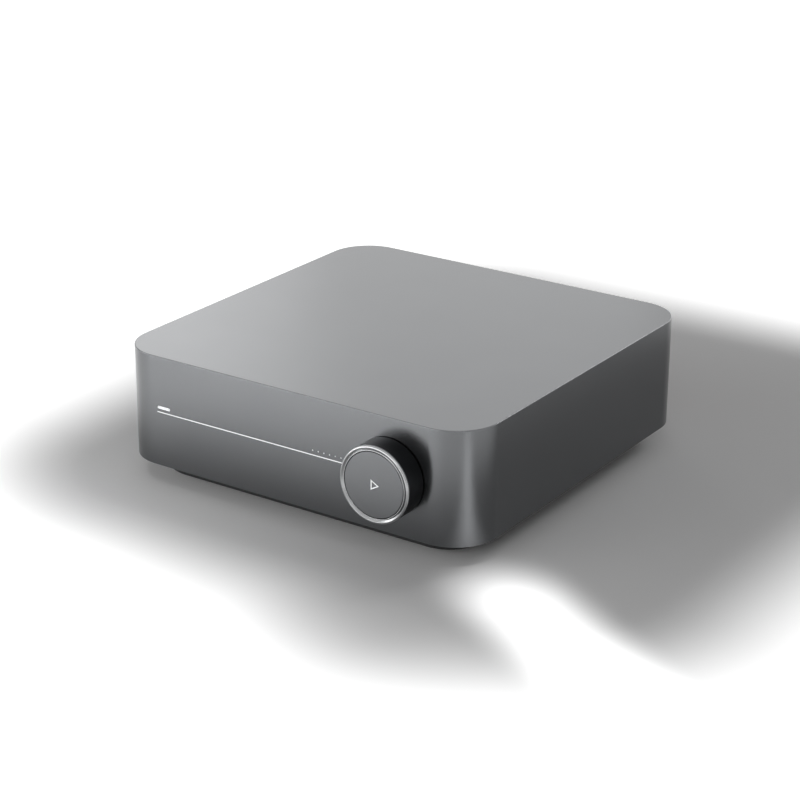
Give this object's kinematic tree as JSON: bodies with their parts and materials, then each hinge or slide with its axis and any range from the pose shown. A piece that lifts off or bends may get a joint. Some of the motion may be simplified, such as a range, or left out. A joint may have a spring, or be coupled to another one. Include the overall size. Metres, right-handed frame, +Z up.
{
  "type": "network music streamer",
  "caption": "Low square music streamer with rounded corners, a large front knob, a thin light line, speaker posts and sockets at the back.",
  "frame": {"origin": "on the floor, under the middle of the case, which is also the middle of the whole outline", "axes": "+Z up; the front with the knob faces -Y; +X is to the right of someone who faces the front"},
  "size_m": [0.19, 0.214, 0.063],
  "materials": {
    "space_grey_aluminium": "fine bead-blasted and anodised, satin",
    "bright_cut_aluminium": "diamond cut, bright",
    "black_moulding": "fine matt texture",
    "black_rubber": "soft, matt",
    "black_steel": "black oxide",
    "lit_white": "clear light pipe, lit white",
    "light_print": "light grey inlay",
    "green_board": "solder mask",
    "zinc_can": "plated",
    "bright_steel": "plated",
    "gold_plate": "gold plated",
    "red_moulding": "glossy",
    "white_moulding": "glossy",
    "copper_winding": "enamelled",
    "ferrite": "matt",
    "black_sleeve": "shrink sleeve",
    "flat_cable": "flat cable"
  },
  "bodies": {
    "chassis": {"accent_line": "light_print", "amplifier_heatsink": "space_grey_aluminium", "base_screws": "black_steel", "base_tray": "black_moulding", "board_link": "black_moulding", "board_screws": "bright_steel", "board_standoffs": "gold_plate", "case_shell": "space_grey_aluminium", "encoder_back_cover": "black_moulding", "encoder_housing": "zinc_can", "encoder_nut": "bright_steel", "ethernet_contacts": "gold_plate", "ethernet_housing": "black_moulding", "front_board": "green_board", "front_ribbon": "flat_cable", "hdmi_shell": "bright_steel", "hdmi_tongue": "black_moulding", "inlet_housing": "black_moulding", "inlet_pins": "bright_steel", "line_in_body": "black_moulding", "line_in_red_insulator": "red_moulding", "line_in_white_insulator": "white_moulding", "main_board": "green_board", "optical_housing": "black_moulding", "output_chokes": "copper_winding", "panel_screws": "black_steel", "post_nuts": "gold_plate", "post_studs": "gold_plate", "power_board": "green_board", "power_capacitors": "black_sleeve", "power_transformer": "ferrite", "processor_shield": "bright_steel", "push_switch_dome": "bright_steel", "rca_contacts": "gold_plate", "rca_sleeves": "gold_plate", "rear_panel": "black_moulding", "rubber_feet": "black_rubber", "status_window": "lit_white", "sub_out_body": "black_moulding", "sub_out_insulator": "black_moulding", "terminal_block": "black_moulding", "usb_shell": "bright_steel", "usb_tongue": "white_moulding", "volume_lens_strip": "lit_white", "wireless_module": "bright_steel"},
    "rotor": {"encoder_rotor": "black_moulding"},
    "knob": {"knob_skirt": "space_grey_aluminium", "knob_bezel": "bright_cut_aluminium", "knob_cap": "space_grey_aluminium", "knob_play_mark": "light_print", "knob_shaft": "bright_steel"},
    "shutter": {"optical_shutter": "black_moulding"},
    "washer_right_plus": {"post_washer_right_plus": "gold_plate"},
    "cap_right_plus": {"post_cap_right_plus": "red_moulding"},
    "washer_right_minus": {"post_washer_right_minus": "gold_plate"},
    "cap_right_minus": {"post_cap_right_minus": "black_moulding"},
    "washer_left_plus": {"post_washer_left_plus": "gold_plate"},
    "cap_left_plus": {"post_cap_left_plus": "red_moulding"},
    "washer_left_minus": {"post_washer_left_minus": "gold_plate"},
    "cap_left_minus": {"post_cap_left_minus": "black_moulding"}
  },
  "joints": [
    {"name": "knob_turn", "type": "hinge", "parent": "chassis", "child": "rotor", "pos_m": [0.055, -0.0913, 0.03665], "axis": [0, 1, 0], "continuous": true},
    {"name": "knob_press", "type": "slide", "parent": "rotor", "child": "knob", "axis": [0, 1, 0], "range_m": [0, 0.0005], "stiffness_N_per_m": 1500, "springref_m": -0.0008},
    {"name": "optical_shutter_swing", "type": "hinge", "parent": "chassis", "child": "shutter", "pos_m": [0.01561, 0.09265, 0.02888], "axis": [-1, 0, 0], "range_deg": [0, 80], "stiffness_Nm_per_rad": 0.0001, "springref_deg": -17.19},
    {"name": "post_right_plus_travel", "type": "slide", "parent": "chassis", "child": "washer_right_plus", "axis": [0, 1, 0], "range_m": [0, 0.006]},
    {"name": "post_right_plus_screw", "type": "hinge", "parent": "washer_right_plus", "child": "cap_right_plus", "pos_m": [0.06257, 0.0955, 0.04618], "axis": [0, 1, 0], "range_deg": [0, 2160]},
    {"name": "post_right_minus_travel", "type": "slide", "parent": "chassis", "child": "washer_right_minus", "axis": [0, 1, 0], "range_m": [0, 0.006]},
    {"name": "post_right_minus_screw", "type": "hinge", "parent": "washer_right_minus", "child": "cap_right_minus", "pos_m": [0.06257, 0.0955, 0.02712], "axis": [0, 1, 0], "range_deg": [0, 2160]},
    {"name": "post_left_plus_travel", "type": "slide", "parent": "chassis", "child": "washer_left_plus", "axis": [0, 1, 0], "range_m": [0, 0.006]},
    {"name": "post_left_plus_screw", "type": "hinge", "parent": "washer_left_plus", "child": "cap_left_plus", "pos_m": [0.04352, 0.0955, 0.04618], "axis": [0, 1, 0], "range_deg": [0, 2160]},
    {"name": "post_left_minus_travel", "type": "slide", "parent": "chassis", "child": "washer_left_minus", "axis": [0, 1, 0], "range_m": [0, 0.006]},
    {"name": "post_left_minus_screw", "type": "hinge", "parent": "washer_left_minus", "child": "cap_left_minus", "pos_m": [0.04352, 0.0955, 0.02712], "axis": [0, 1, 0], "range_deg": [0, 2160]}
  ],
  "couplings": [
    {"joint": "post_right_plus_screw", "follows": "post_right_plus_travel", "rad_per_m": 6283.2},
    {"joint": "post_right_minus_screw", "follows": "post_right_minus_travel", "rad_per_m": 6283.2},
    {"joint": "post_left_plus_screw", "follows": "post_left_plus_travel", "rad_per_m": 6283.2},
    {"joint": "post_left_minus_screw", "follows": "post_left_minus_travel", "rad_per_m": 6283.2}
  ]
}
